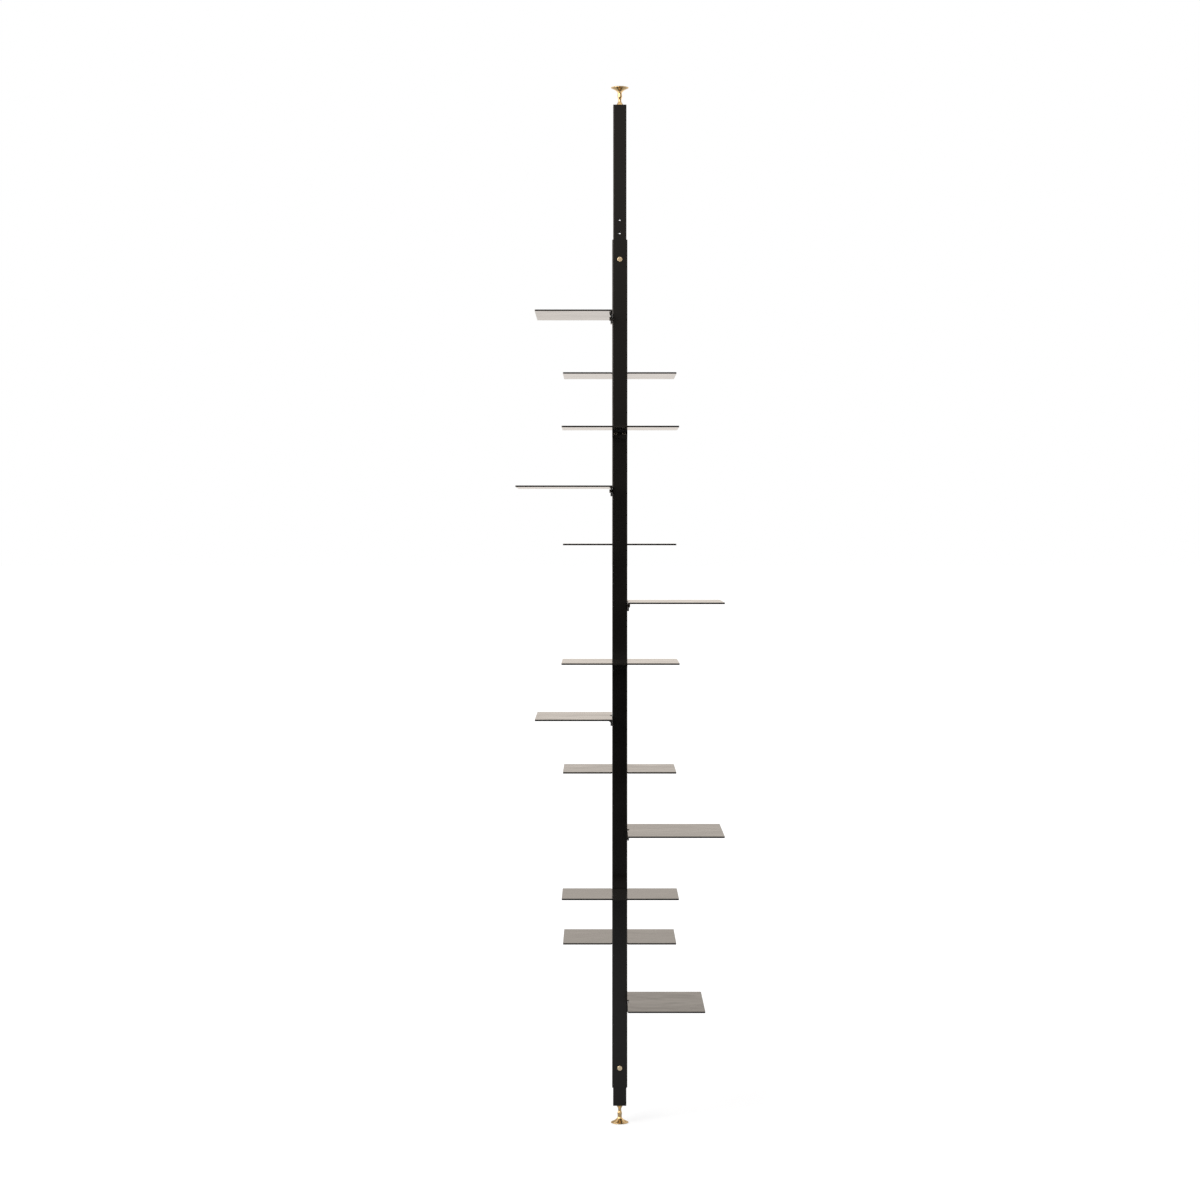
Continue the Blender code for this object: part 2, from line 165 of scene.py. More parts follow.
# Lamps: name, place, target, size in metres and power in watts
LAMPS = (
    ("key", (-3.0, -3.2, 3.4), (0.0, 0.0, 1.0), 3.4, 150.0),
    ("left", (-3.6, 0.3, 1.6), (0.0, 0.0, 1.6), 3.0, 25.0),
    ("right", (2.9, 3.8, 2.4), (0.0, 0.0, 0.0), 2.2, 14.0),
)

# Camera: seven metres in front of the post, about level with the fifth shelf
CAMERA_PLACE = (-0.052, -7.0, 1.555)
CAMERA_TILT = math.radians(0.7)
CAMERA_LENS = 79.72
CAMERA_SENSOR = 36.0
CAMERA_SHIFT = -0.0280


def new_object(name, mesh, material=None, matrix=Matrix()):
    """A new object of this mesh, which takes the material unless it has one."""
    if material and not mesh.materials:
        mesh.materials.append(material)
    obj = bpy.data.objects.new(name, mesh)
    bpy.context.scene.collection.objects.link(obj)
    obj.matrix_world = matrix
    return obj


def new_piece(node, body, mesh, material, matrix=Matrix()):
    """A finer piece that stands for a node of the frame and moves with that node's body."""
    piece = new_object(f"{node}_piece", mesh, material, matrix)
    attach(piece, body)
    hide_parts(node)
    keep_flats(piece)


def keep_flats(obj):
    """Leans the shading on the larger faces, so that flat faces stay flat beside small rounded edges."""
    obj.modifiers.new("flats", "WEIGHTED_NORMAL").keep_sharp = True


def to_mesh(bm, name):
    """The finished mesh, its faces pointing out."""
    bmesh.ops.recalc_face_normals(bm, faces=bm.faces)
    mesh = bpy.data.meshes.new(name)
    bm.to_mesh(mesh)
    bm.free()
    return mesh


def add_cut(obj, mesh):
    """Cuts this mesh, which lies in the object's frame, out of the object."""
    cutter = new_object(mesh.name, mesh, matrix=obj.matrix_world)
    cutter.hide_render = True
    cut = obj.modifiers.new(mesh.name, "BOOLEAN")
    cut.operation = "DIFFERENCE"
    cut.solver = "EXACT"
    cut.object = cutter


def add_edge(obj, width, steps=EDGE_STEPS):
    """Breaks the sharp edges."""
    edge = obj.modifiers.new("edge", "BEVEL")
    edge.limit_method = "ANGLE"
    edge.angle_limit = EDGE_ANGLE
    edge.width = width
    edge.segments = steps
    edge.use_clamp_overlap = True


def shade(mesh):
    """Smooth up to the sharp angle."""
    mesh.shade_smooth()
    mesh.set_sharp_from_angle(angle=SHARP_ANGLE)


def baked(obj):
    """The object's shaded mesh with its modifiers applied. The object and its cutters are removed."""
    bpy.context.view_layer.update()
    graph = bpy.context.evaluated_depsgraph_get()
    mesh = bpy.data.meshes.new_from_object(obj.evaluated_get(graph))
    shade(mesh)
    cutters = [m.object for m in obj.modifiers if m.type == "BOOLEAN"]
    for used in (*cutters, obj):
        bpy.data.objects.remove(used, do_unlink=True)
    return mesh


def arc(centre, radius, start, end, steps):
    """Points on an arc, ends included, between two angles in degrees."""
    turns = [math.radians(start + (end - start) * i / steps) for i in range(steps + 1)]
    return [(centre[0] + radius * math.cos(a), centre[1] + radius * math.sin(a)) for a in turns]


def rounded_rectangle(x_low, x_high, y_low, y_high, radius):
    """The outline's points, counterclockwise from the corner of both low values."""
    inner = (
        (x_low + radius, y_low + radius, 180),
        (x_high - radius, y_low + radius, 270),
        (x_high - radius, y_high - radius, 0),
        (x_low + radius, y_high - radius, 90),
    )
    return [p for x, y, a in inner for p in arc((x, y), radius, a, a + 90, CORNER_STEPS)]


def loop_edges(bm, points):
    """A closed loop of edges through these points."""
    verts = [bm.verts.new(p) for p in points]
    return [bm.edges.new((a, b)) for a, b in zip(verts, verts[1:] + verts[:1])]


def rod_mesh(name, frames, diameter, low, high, sides):
    """Rods with this many sides along the Z axes of these frames, from low to high on each."""
    bm = bmesh.new()
    middle = Matrix.Translation((0, 0, (low + high) / 2))
    for rod in frames:
        bmesh.ops.create_cone(
            bm, cap_ends=True, segments=sides, radius1=diameter / 2, radius2=diameter / 2,
            depth=high - low, matrix=rod @ middle,
        )
    return to_mesh(bm, name)


def thread_dip(thread, z, turn):
    """How far a thread of (low z, high z, pitch, depth) cuts in at a height and a share of a turn."""
    low, high, pitch, depth = thread
    if not low < z < high:
        return 0.0
    phase = (z / pitch - turn) % 1
    return depth * (1 - abs(2 * phase - 1))


def turned_mesh(name, profile, sides, closed=False, thread=None):
    """A profile of (radius, z) points turned about Z. A closed profile makes a ring.

    An end that stays off the axis is closed with one flat face.
    A thread makes the radius dip along a helix.
    """
    bm = bmesh.new()
    columns = []
    for side in range(sides):
        turn = side / sides
        c, s = math.cos(2 * math.pi * turn), math.sin(2 * math.pi * turn)
        columns.append([])
        for radius, z in profile:
            if radius == 0 and side:
                columns[-1].append(columns[0][len(columns[-1])])
                continue
            if thread:
                radius -= thread_dip(thread, z, turn)
            columns[-1].append(bm.verts.new((radius * c, radius * s, z)))
    rows = len(profile) if closed else len(profile) - 1
    for left, right in zip(columns, columns[1:] + columns[:1]):
        for row in range(rows):
            below = (row + 1) % len(profile)
            corners = [left[row], right[row], right[below], left[below]]
            bm.faces.new([v for i, v in enumerate(corners) if v not in corners[:i]])
    bmesh.ops.holes_fill(bm, edges=[edge for edge in bm.edges if edge.is_boundary])
    return to_mesh(bm, name)


def swell(low, high, start, length):
    """Points that ease from one radius to another along -Z, as a turner's ogee does."""
    shares = [i / CURVE_STEPS for i in range(1, CURVE_STEPS + 1)]
    return [(low + (high - low) * (1 - math.cos(math.pi * s)) / 2, start - length * s) for s in shares]


def flare(narrow, wide, start, length):
    """Points of a hollowed cone that opens along -Z, up to just before its rim."""
    shares = [i / CURVE_STEPS for i in range(1, CURVE_STEPS)]
    return [(narrow + (wide - narrow) * s ** FLARE_CURVE, start - length * s) for s in shares]


def nut_mesh():
    """The jack nut, from the tube's end at z = 0 down: a short edge, then a cone around the stud."""
    top, tip, bore, base = -TOUCH_GAP, -TOUCH_GAP - NUT_HEIGHT, STUD / 2 + TOUCH_GAP, NUT_BASE / 2
    profile = [(bore, top), (base, top), (base, top - NUT_BASE_EDGE), (NUT_TIP / 2, tip), (bore, tip)]
    nut = new_object("nut_draft", turned_mesh("jack_nut", profile, TURNED_SIDES, closed=True))
    add_edge(nut, BRASS_EDGE)
    return baked(nut)


def foot_mesh():
    """The foot below the tube's end at z = 0, its threaded stud above.

    From the stud down: neck, bulge, waist, flared disc and the pad's recess.
    """
    shoulder = -2 * TOUCH_GAP - NUT_HEIGHT
    neck_end = shoulder - NECK_LENGTH
    middle, waist = neck_end - BULGE_LENGTH / 2, neck_end - BULGE_LENGTH
    base = waist - FLARE_HEIGHT - DISC_EDGE
    recess, recess_top = DISC / 2 - PAD_RIM, base + PAD_RECESS
    rows = round((STUD_INSIDE - shoulder) / STUD_PITCH * THREAD_ROWS)
    heights = [STUD_INSIDE + (shoulder - STUD_INSIDE) * row / rows for row in range(1, rows + 1)]
    profile = [(0, STUD_INSIDE), (STUD / 2 - STUD_THREAD, STUD_INSIDE)]
    profile += [(STUD / 2, z) for z in heights]
    profile += [(NECK / 2, shoulder), (NECK / 2, neck_end)]
    profile += swell(NECK / 2, BULGE / 2, neck_end, BULGE_LENGTH / 2)
    profile += swell(BULGE / 2, WAIST / 2, middle, BULGE_LENGTH / 2)
    profile += flare(WAIST / 2, DISC / 2, waist, FLARE_HEIGHT)
    rim = DISC_EDGE / 2
    profile += arc((DISC / 2 - rim, base + rim), rim, RIM_START_DEGREES, -90, CORNER_STEPS)
    profile += [(recess, base), (recess, recess_top), (0, recess_top)]
    thread = (shoulder, STUD_INSIDE, STUD_PITCH, STUD_THREAD)
    mesh = turned_mesh("foot", profile, TURNED_SIDES, thread=thread)
    shade(mesh)
    return mesh


def lock_screw_mesh():
    """A slotted cheese-head screw, its head's seat at z = 0 and its shank below."""
    shank, head = LOCK_SHANK / 2, LOCK_HEAD / 2
    profile = [(0, -LOCK_TIP), (shank, -LOCK_TIP), (shank, 0), (head, 0)]
    round_centre = (head - LOCK_HEAD_ROUND, LOCK_HEAD_HEIGHT - LOCK_HEAD_ROUND)
    profile += arc(round_centre, LOCK_HEAD_ROUND, 0, 90, CORNER_STEPS)
    profile.append((0, LOCK_HEAD_HEIGHT))
    screw = new_object("lock_screw_draft", turned_mesh("lock_screw", profile, TURNED_SIDES))
    slot = bmesh.new()
    size = (SLOT_WIDTH, LOCK_HEAD + 2 * CUTTER_REACH, SLOT_DEPTH + CUTTER_REACH)
    middle = Matrix.Translation((0, 0, LOCK_HEAD_HEIGHT - SLOT_DEPTH + size[2] / 2))
    bmesh.ops.create_cube(slot, size=1.0, matrix=middle @ Matrix.Diagonal((*size, 1.0)))
    add_cut(screw, to_mesh(slot, "slot"))
    add_edge(screw, SCREW_EDGE)
    return baked(screw)


def shelf_screw_mesh():
    """A button-head screw with a hex socket, its head's seat at z = 0 and its shank below."""
    shank, head = SCREW_SHANK / 2, SCREW_HEAD / 2
    flat_radius = SOCKET_ACROSS_FLATS
    end = math.acos(flat_radius / head)
    rise = (SCREW_HEAD_HEIGHT - SCREW_RIM) / math.sin(end)
    turns = [end * i / DOME_STEPS for i in range(DOME_STEPS + 1)]
    profile = [(0, -SCREW_LENGTH), (shank, -SCREW_LENGTH), (shank, 0), (head, 0)]
    profile += [(head * math.cos(a), SCREW_RIM + rise * math.sin(a)) for a in turns]
    screw = new_object("shelf_screw_draft", turned_mesh("shelf_screw", profile, HOLE_SIDES))
    across_corners = SOCKET_ACROSS_FLATS / math.cos(math.pi / SOCKET_SIDES)
    bottom, top = SCREW_HEAD_HEIGHT - SOCKET_DEPTH, SCREW_HEAD_HEIGHT + CUTTER_REACH
    add_cut(screw, rod_mesh("socket", [Matrix()], across_corners, bottom, top, SOCKET_SIDES))
    add_edge(screw, SCREW_EDGE)
    return baked(screw)


def extension_mesh(low, high, holes):
    """A square tube between two heights, with lock holes through its front and back at these heights."""
    half, inside = EXTENSION_SIDE / 2, EXTENSION_SIDE / 2 - EXTENSION_WALL
    outer = rounded_rectangle(-half, half, -half, half, EXTENSION_CORNER)
    inner = rounded_rectangle(-inside, inside, -inside, inside, INSIDE_CORNER)
    bm = bmesh.new()
    edges = [edge for loop in (outer, inner) for edge in loop_edges(bm, [(x, y, low) for x, y in loop])]
    bmesh.ops.bridge_loops(bm, edges=edges)
    extruded = bmesh.ops.extrude_face_region(bm, geom=bm.faces[:])["geom"]
    raised = [item for item in extruded if isinstance(item, bmesh.types.BMVert)]
    bmesh.ops.translate(bm, verts=raised, vec=(0, 0, high - low))
    tube = new_object("tube_draft", to_mesh(bm, "extension"))
    frames = [Matrix.Translation((0, 0, z)) @ Matrix.Rotation(math.pi / 2, 4, "X") for z in holes]
    reach = half + CUTTER_REACH
    add_cut(tube, rod_mesh("holes", frames, LOCK_SHANK + 2 * TOUCH_GAP, -reach, reach, HOLE_SIDES))
    add_edge(tube, TUBE_EDGE)
    return baked(tube)


def shelf_mesh(projection):
    """A folded shelf: x leads away from the post's face and z = 0 is the plate's top."""
    bm = bmesh.new()
    shelf_skin(bm, projection)
    skin = bpy.data.meshes.new("shelf")
    bm.to_mesh(skin)
    bm.free()
    shelf = new_object("shelf_draft", skin)
    solidify = shelf.modifiers.new("sheet", "SOLIDIFY")
    solidify.thickness = SHEET
    solidify.offset = -1.0
    solidify.use_even_offset = True
    add_edge(shelf, SHEET_EDGE, SHEET_EDGE_STEPS)
    return baked(shelf)


def shelf_skin(bm, projection):
    """A shelf's upper skin: the plate, the bend along the tab's root and the tab with its screw holes."""
    inner, outer = TOUCH_GAP, TOUCH_GAP + projection
    bend = BEND_RADIUS + SHEET
    root, half_tab = inner + bend, POST_SIDE / 2
    plate = rounded_rectangle(inner, outer, -SHELF_WIDTH / 2, SHELF_WIDTH / 2, PLATE_CORNER)
    relief = half_tab + RELIEF_WIDTH
    notch = [
        (inner, relief), (root, relief), (root, half_tab),
        (root, -half_tab), (root, -relief), (inner, -relief),
    ]
    verts = [bm.verts.new((x, y, 0)) for x, y in plate + notch]
    face = bm.faces.new(verts)
    fold = bm.edges.get(verts[len(plate) + 2:len(plate) + 4])
    bent = bmesh.ops.spin(
        bm, geom=[fold, *fold.verts], cent=(root, 0, -bend), axis=(0, -1, 0),
        angle=math.pi / 2, steps=BEND_STEPS,
    )["geom_last"]
    tab_top = next(item for item in bent if isinstance(item, bmesh.types.BMEdge))
    fill_tab(bm, tab_top, inner, half_tab)
    bmesh.ops.recalc_face_normals(bm, faces=bm.faces)
    if face.normal.z < 0:
        bmesh.ops.reverse_faces(bm, faces=bm.faces)


def fill_tab(bm, top, x, half_tab):
    """Fills the tab's outline below its top edge, leaving the two screw holes open."""
    left, right = sorted(top.verts, key=lambda v: v.co.y)
    low = -TAB_DROP + TAB_CORNER
    corners = arc((-half_tab + TAB_CORNER, low), TAB_CORNER, 180, 270, CORNER_STEPS)
    corners += arc((half_tab - TAB_CORNER, low), TAB_CORNER, 270, 360, CORNER_STEPS)
    rim = [left, *(bm.verts.new((x, y, z)) for y, z in corners), right]
    edges = [top, *(bm.edges.new(pair) for pair in zip(rim, rim[1:]))]
    for side in (-SCREW_SPACING / 2, SCREW_SPACING / 2):
        hole = arc((side, -SCREW_DROP), SCREW_SHANK / 2 + TOUCH_GAP, 0, 360, HOLE_SIDES)[:-1]
        edges += loop_edges(bm, [(x, y, z) for y, z in hole])
    bmesh.ops.triangle_fill(bm, edges=edges, use_beauty=True)


def ranged(tree, output, span, low, high, kind="LINEAR"):
    """A value that goes from low to high while this output goes through its span."""
    made = tree.nodes.new("ShaderNodeMapRange")
    made.interpolation_type = kind
    for name, number in zip(("From Min", "From Max", "To Min", "To Max"), (*span, low, high)):
        made.inputs[name].default_value = number
    tree.links.new(output, made.inputs["Value"])
    return made.outputs["Result"]


def eased(tree, output, span, low, high):
    """As ranged, with a soft start and end."""
    return ranged(tree, output, span, low, high, kind="SMOOTHSTEP")


def graded(tree, output, stops):
    """A value that eases between the levels of these (place, level) stops."""
    made = tree.nodes.new("ShaderNodeValToRGB")
    made.color_ramp.interpolation = "EASE"
    elements = made.color_ramp.elements
    for place, _ in stops[1:-1]:
        elements.new(place)
    for element, (place, level) in zip(elements, stops):
        element.position = place
        element.color = (level, level, level, 1.0)
    tree.links.new(output, made.inputs["Fac"])
    return made.outputs["Color"]


def math_node(tree, operation, *outputs):
    """The result of a math operation on these outputs."""
    made = tree.nodes.new("ShaderNodeMath")
    made.operation = operation
    for socket, output in zip(made.inputs, outputs):
        tree.links.new(output, socket)
    return made.outputs["Value"]


class Shader:
    """A material's node tree around one Principled shader, with short calls for the nodes used here."""

    def __init__(self, name):
        self.material = bpy.data.materials.new(name)
        self.material.use_nodes = True
        self.tree = self.material.node_tree
        self.principled = self.tree.nodes["Principled BSDF"]
        self.coordinates = self.tree.nodes.new("ShaderNodeTexCoord").outputs["Object"]

    def node(self, kind, **values):
        """A new node with these properties."""
        made = self.tree.nodes.new(kind)
        for name, value in values.items():
            setattr(made, name, value)
        return made

    def link(self, output, socket):
        self.tree.links.new(output, socket)

    def set(self, **values):
        """Sets the shader's own sockets."""
        for name, value in values.items():
            self.principled.inputs[name.replace("_", " ")].default_value = value

    def use(self, **outputs):
        """Links outputs to the shader's sockets."""
        for name, output in outputs.items():
            self.link(output, self.principled.inputs[name.replace("_", " ")])

    def noise(self, scale, detail=2.0):
        """A noise over the object's own coordinates."""
        made = self.node("ShaderNodeTexNoise")
        made.inputs["Scale"].default_value = scale
        made.inputs["Detail"].default_value = detail
        self.link(self.coordinates, made.inputs["Vector"])
        return made.outputs["Fac"]

    def spread(self, value, low, high):
        """Maps a noise's usual span to a range."""
        return ranged(self.tree, value, NOISE_SPAN, low, high)

    def tint(self, value, tones):
        """Blends two tones by a value."""
        made = self.node("ShaderNodeMix", data_type="RGBA")
        sockets = [s for s in made.inputs if s.type == "RGBA"]
        for socket, tone in zip(sockets, tones):
            socket.default_value = (*tone, 1.0)
        self.link(value, made.inputs["Factor"])
        return next(s for s in made.outputs if s.type == "RGBA")

    def bump(self, height, strength, distance, under=None):
        """Normals of a relief of this depth, on top of another one where it is given."""
        made = self.node("ShaderNodeBump")
        made.inputs["Strength"].default_value = strength
        made.inputs["Distance"].default_value = distance
        self.link(height, made.inputs["Height"])
        if under:
            self.link(under, made.inputs["Normal"])
        return made.outputs["Normal"]


def post_lacquer():
    """Black powder coat: a fine pebbled skin with a satin gloss."""
    shader = Shader("post_lacquer")
    shader.set(Metallic=0.0, IOR=1.5, Specular_IOR_Level=0.42)
    cloud = shader.noise(scale=7.0, detail=3.0)
    pebbles = shader.noise(scale=1100.0, detail=1.0)
    shader.use(
        Base_Color=shader.tint(cloud, POST_TONES),
        Roughness=shader.spread(cloud, low=0.18, high=0.24),
        Normal=shader.bump(pebbles, strength=0.04, distance=0.0001),
    )
    return shader.material


def shelf_lacquer():
    """Smooth black lacquer on sheet steel, slightly wavy and a little uneven in its gloss."""
    shader = Shader("shelf_lacquer")
    shader.set(Metallic=0.0, IOR=1.5, Specular_IOR_Level=0.5)
    cloud = shader.noise(scale=14.0, detail=4.0)
    peel = shader.bump(shader.noise(scale=420.0, detail=1.0), strength=0.02, distance=0.0001)
    shader.use(
        Base_Color=shader.tint(cloud, SHELF_TONES),
        Roughness=shader.spread(cloud, low=0.10, high=0.13),
        Normal=shader.bump(shader.noise(scale=7.0), strength=0.3, distance=0.005, under=peel),
    )
    return shader.material


def black_screw():
    """Blackened steel, rubbed a little brighter in places."""
    shader = Shader("black_screw")
    shader.set(Metallic=1.0)
    cloud = shader.noise(scale=260.0, detail=3.0)
    shader.use(
        Base_Color=shader.tint(cloud, SCREW_TONES),
        Roughness=shader.spread(cloud, low=0.28, high=0.40),
        Normal=shader.bump(shader.noise(scale=1800.0), strength=0.15, distance=0.0001),
    )
    return shader.material


def brass(name, tones):
    """Polished turned brass: fine rings from the lathe and a breath of tarnish."""
    shader = Shader(name)
    shader.set(Metallic=1.0)
    cloud = shader.noise(scale=180.0, detail=3.0)
    shader.use(
        Base_Color=shader.tint(cloud, tones),
        Roughness=shader.spread(cloud, low=0.20, high=0.30),
        Normal=shader.bump(lathe_rings(shader, scale=2600.0), strength=0.05, distance=0.0001),
    )
    return shader.material


def lathe_rings(shader, scale):
    """Noise that changes only along a turned profile, with the radius and the height."""
    split = shader.node("ShaderNodeSeparateXYZ")
    shader.link(shader.coordinates, split.inputs["Vector"])
    flat = shader.node("ShaderNodeCombineXYZ")
    for axis in ("X", "Y"):
        shader.link(split.outputs[axis], flat.inputs[axis])
    radius = shader.node("ShaderNodeVectorMath", operation="LENGTH")
    shader.link(flat.outputs["Vector"], radius.inputs[0])
    along = math_node(shader.tree, "ADD", radius.outputs["Value"], split.outputs["Z"])
    rings = shader.node("ShaderNodeTexNoise", noise_dimensions="1D")
    rings.inputs["Scale"].default_value = scale
    shader.link(along, rings.inputs["W"])
    return rings.outputs["Fac"]


def pad_rubber():
    """Dark matt rubber."""
    shader = Shader("pad")
    shader.set(Metallic=0.0, Specular_IOR_Level=0.3)
    grain = shader.noise(scale=900.0)
    shader.use(
        Base_Color=shader.tint(grain, PAD_TONES),
        Roughness=shader.spread(grain, low=0.70, high=0.85),
        Normal=shader.bump(grain, strength=0.20, distance=0.0002),
    )
    return shader.material


def smooth_shading():
    """A node group that welds a solid's facets and shades them smooth up to the sharp angle."""
    group = bpy.data.node_groups.new("welded_smooth", "GeometryNodeTree")
    make, link = group.nodes.new, group.links.new
    for direction in ("INPUT", "OUTPUT"):
        group.interface.new_socket("Geometry", in_out=direction, socket_type="NodeSocketGeometry")
    start, end = make("NodeGroupInput"), make("NodeGroupOutput")
    weld = make("GeometryNodeMergeByDistance")
    weld.inputs["Distance"].default_value = WELD_DISTANCE
    angle = make("GeometryNodeInputMeshEdgeAngle")
    sharp = make("FunctionNodeCompare")
    sharp.data_type = "FLOAT"
    sharp.operation = "GREATER_THAN"
    sharp.inputs["B"].default_value = SHARP_ANGLE
    normal = make("GeometryNodeSetMeshNormal")
    normal.mode = "SHARPNESS"
    normal.inputs["Remove Custom"].default_value = True
    link(start.outputs["Geometry"], weld.inputs["Geometry"])
    link(weld.outputs["Geometry"], normal.inputs["Mesh"])
    link(angle.outputs["Unsigned Angle"], sharp.inputs["A"])
    link(sharp.outputs["Result"], normal.inputs["Edge Sharpness"])
    link(normal.outputs["Mesh"], end.inputs["Geometry"])
    return group


def dress_nodes(materials):
    """Finishes the nodes that stay as they are."""
    group = smooth_shading()
    for node, finish in KEPT_NODES.items():
        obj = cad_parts[node]
        obj.data.materials.clear()
        obj.data.materials.append(materials[finish])
        obj.modifiers.new("shading", "NODES").node_group = group
        keep_flats(obj)


def mid_height(node):
    """The height of the middle of a node's box."""
    low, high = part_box(node)
    return (low.z + high.z) / 2


def make_extensions(materials):
    """The tubes with the feet and jack nuts on their outer ends."""
    nut, foot = nut_mesh(), foot_mesh()
    for end, steps in LOCK_STEPS.items():
        low, high = (corner.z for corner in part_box(f"{end}_extension"))
        lock_height = mid_height(f"{end}_lock_screw")
        tube = extension_mesh(low, high, [lock_height + LOCK_PITCH * step for step in steps])
        new_piece(f"{end}_extension", f"{end}_extension", tube, materials["post_lacquer"])
        tip = Matrix.Translation((0, 0, low))
        if end == "top":
            tip = Matrix.Translation((0, 0, high)) @ Matrix.Rotation(math.pi, 4, "X")
        new_piece(f"{end}_jack_nut", f"{end}_jack_nut", nut, materials["brass"], tip)
        new_piece(f"{end}_foot", f"{end}_foot", foot, materials["brass"], tip)


def make_lock_screws(materials):
    """The slotted screws on the front of the post."""
    mesh = lock_screw_mesh()
    outward = Matrix.Rotation(math.pi / 2, 4, "X")
    for end in ("top", "bottom"):
        node = f"{end}_lock_screw"
        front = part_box(node)[0].y
        seat = Matrix.Translation((0, front + LOCK_HEAD_HEIGHT, mid_height(node))) @ outward
        new_piece(node, node, mesh, materials["pale_brass"], seat)


def outward_angle(node):
    """The angle, about Z, of the direction in which a shelf leaves the post."""
    low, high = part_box(node)
    middle = (low + high) / 2
    return math.pi / 2 * round(math.atan2(middle.y, middle.x) / (math.pi / 2))


def make_shelves(materials):
    """Every shelf on its face of the post, with its two screws. A shelf is wider than it reaches out."""
    plates = {}
    screw_mesh = shelf_screw_mesh()
    seat = POST_SIDE / 2 + 2 * TOUCH_GAP + SHEET
    outward = Matrix.Rotation(math.pi / 2, 4, "Y")
    sides = {"a": -SCREW_SPACING / 2, "b": SCREW_SPACING / 2}
    for node in sorted(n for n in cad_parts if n.startswith("shelf_") and "screw" not in n):
        low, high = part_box(node)
        size = high - low
        projection = round(min(size.x, size.y), SIZE_DIGITS)
        if projection not in plates:
            plates[projection] = shelf_mesh(projection)
        place = Matrix.Translation((0, 0, high.z)) @ Matrix.Rotation(outward_angle(node), 4, "Z")
        face = place @ Matrix.Translation((POST_SIDE / 2, 0, 0))
        new_piece(node, "main_post", plates[projection], materials["shelf_lacquer"], face)
        for letter, side in sides.items():
            screw = place @ Matrix.Translation((seat, side, -SCREW_DROP)) @ outward
            name = f"{node}_screw_{letter}"
            new_piece(name, "main_post", screw_mesh, materials["black_screw"], screw)


def make_world():
    """White for the camera, and for everything else a soft room, bright behind and dim in front.

    The front levels go over into the back ones with the direction's y.
    """
    world = bpy.data.worlds.new("studio")
    bpy.context.scene.world = world
    world.use_nodes = True
    tree = world.node_tree
    tree.nodes.clear()
    make, link = tree.nodes.new, tree.links.new
    direction = make("ShaderNodeSeparateXYZ")
    link(make("ShaderNodeTexCoord").outputs["Generated"], direction.inputs["Vector"])
    level = make("ShaderNodeMix")
    link(eased(tree, direction.outputs["Y"], FRONT_TO_BACK, 0.0, 1.0), level.inputs["Factor"])
    link(graded(tree, direction.outputs["Z"], FRONT_LEVELS), level.inputs["A"])
    link(graded(tree, direction.outputs["Z"], BACK_LEVELS), level.inputs["B"])
    room, backdrop = make("ShaderNodeBackground"), make("ShaderNodeBackground")
    room.inputs["Color"].default_value = (*ROOM_COLOUR, 1.0)
    link(level.outputs["Result"], room.inputs["Strength"])
    backdrop.inputs["Color"].default_value = (*WHITE, 1.0)
    mix = make("ShaderNodeMixShader")
    link(make("ShaderNodeLightPath").outputs["Is Camera Ray"], mix.inputs["Fac"])
    link(room.outputs["Background"], mix.inputs[1])
    link(backdrop.outputs["Background"], mix.inputs[2])
    link(mix.outputs["Shader"], make("ShaderNodeOutputWorld").inputs["Surface"])


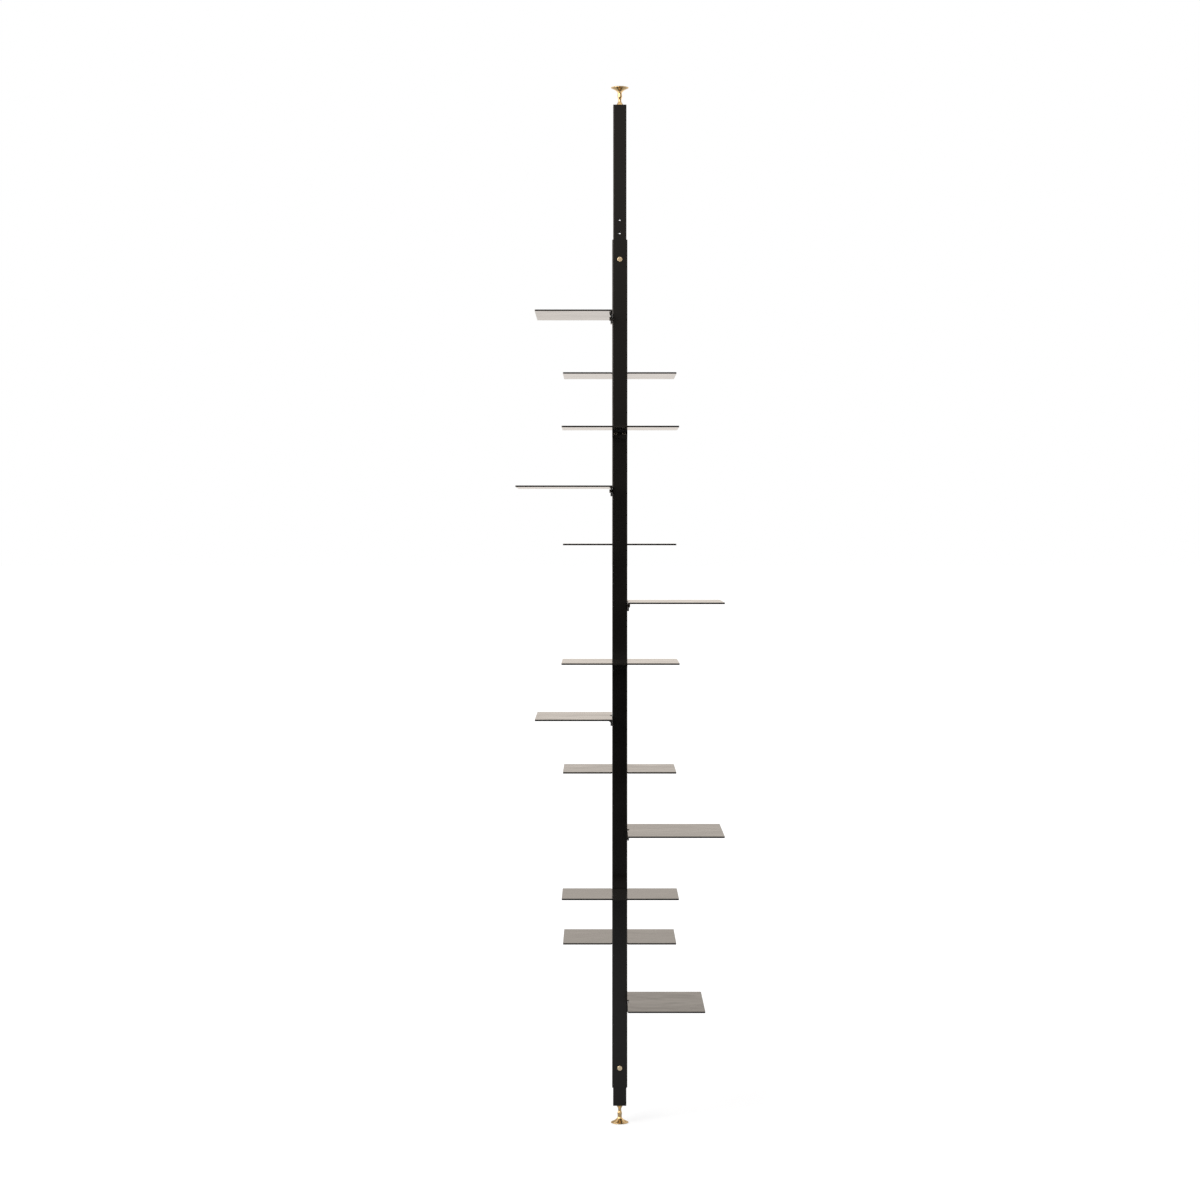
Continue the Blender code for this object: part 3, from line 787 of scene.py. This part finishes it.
def floor_material():
    """A pale floor that comes out white, keeps a faint shadow and, in reflections only, glows bright far
    behind and aside the object.

    The glow for the camera eases with the distance from the post. The painted reflection light, which
    only glossy rays see, eases with how far a place is behind it or aside.
    """
    material = bpy.data.materials.new("floor")
    material.use_nodes = True
    tree = material.node_tree
    tree.nodes.clear()
    make, link = tree.nodes.new, tree.links.new
    path = make("ShaderNodeLightPath").outputs
    position = make("ShaderNodeNewGeometry").outputs["Position"]
    place = make("ShaderNodeSeparateXYZ")
    link(position, place.inputs["Vector"])
    distance = make("ShaderNodeVectorMath")
    distance.operation = "LENGTH"
    link(position, distance.inputs[0])
    aside = math_node(tree, "ABSOLUTE", place.outputs["X"])
    glow = eased(tree, distance.outputs["Value"], FLOOR_GLOW_SPAN, FLOOR_GLOW_NEAR, FLOOR_GLOW_FAR)
    # Painted reflection light: the floor glows for glossy rays only, behind and aside the object
    behind_reflected_glow = eased(tree, place.outputs["Y"], REFLECTED_GLOW_BEHIND, 0.0, FLOOR_REFLECTED_GLOW)
    aside_reflected_glow = eased(tree, aside, REFLECTED_GLOW_ASIDE, 0.0, FLOOR_REFLECTED_GLOW)
    reflected_glow = math_node(tree, "MAXIMUM", behind_reflected_glow, aside_reflected_glow)
    grey = make("ShaderNodeBsdfDiffuse")
    grey.inputs["Color"].default_value = (*FLOOR_COLOUR, 1.0)
    surface = grey.outputs["BSDF"]
    for ray, level, colour in (("Is Camera Ray", glow, WHITE), ("Is Glossy Ray", reflected_glow, ROOM_COLOUR)):
        light = make("ShaderNodeEmission")
        light.inputs["Color"].default_value = (*colour, 1.0)
        link(math_node(tree, "MULTIPLY", path[ray], level), light.inputs["Strength"])
        both = make("ShaderNodeAddShader")
        link(surface, both.inputs[0])
        link(light.outputs["Emission"], both.inputs[1])
        surface = both.outputs["Shader"]
    link(surface, make("ShaderNodeOutputMaterial").inputs["Surface"])
    return material


def make_floor():
    """The floor goes with the lower foot, so the object stands on it at every pose."""
    half = FLOOR_WIDTH / 2
    corners = ((-half, -FLOOR_FRONT), (half, -FLOOR_FRONT), (half, FLOOR_BACK), (-half, FLOOR_BACK))
    bm = bmesh.new()
    bm.faces.new([bm.verts.new((x, y, 0)) for x, y in corners])
    floor = new_object("floor", to_mesh(bm, "floor"), floor_material())
    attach(floor, "bottom_foot")


def make_lamp(name, place, target, size, power):
    """A soft square lamp that shines from its place to the target."""
    light = bpy.data.lights.new(name, "AREA")
    light.shape = "SQUARE"
    light.size = size
    light.energy = power
    light.color = ROOM_COLOUR
    lamp = bpy.data.objects.new(name, light)
    lamp.visible_camera = False
    bpy.context.scene.collection.objects.link(lamp)
    lamp.location = place
    lamp.rotation_euler = (Vector(target) - Vector(place)).to_track_quat("-Z", "Y").to_euler()


def make_camera():
    """A camera that looks along +Y, tilted a little down."""
    camera = bpy.data.cameras.new("camera")
    camera.lens = CAMERA_LENS
    camera.sensor_width = CAMERA_SENSOR
    camera.shift_y = CAMERA_SHIFT
    obj = bpy.data.objects.new("camera", camera)
    bpy.context.scene.collection.objects.link(obj)
    obj.location = CAMERA_PLACE
    obj.rotation_euler = (math.pi / 2 - CAMERA_TILT, 0, 0)
    bpy.context.scene.camera = obj


materials = {
    "post_lacquer": post_lacquer(),
    "shelf_lacquer": shelf_lacquer(),
    "black_screw": black_screw(),
    "brass": brass("brass", BRASS_TONES),
    "pale_brass": brass("pale_brass", PALE_BRASS_TONES),
    "pad": pad_rubber(),
}
dress_nodes(materials)
make_extensions(materials)
make_lock_screws(materials)
make_shelves(materials)
make_world()
make_floor()
for lamp in LAMPS:
    make_lamp(*lamp)
make_camera()
bpy.context.scene.view_settings.view_transform = "Standard"
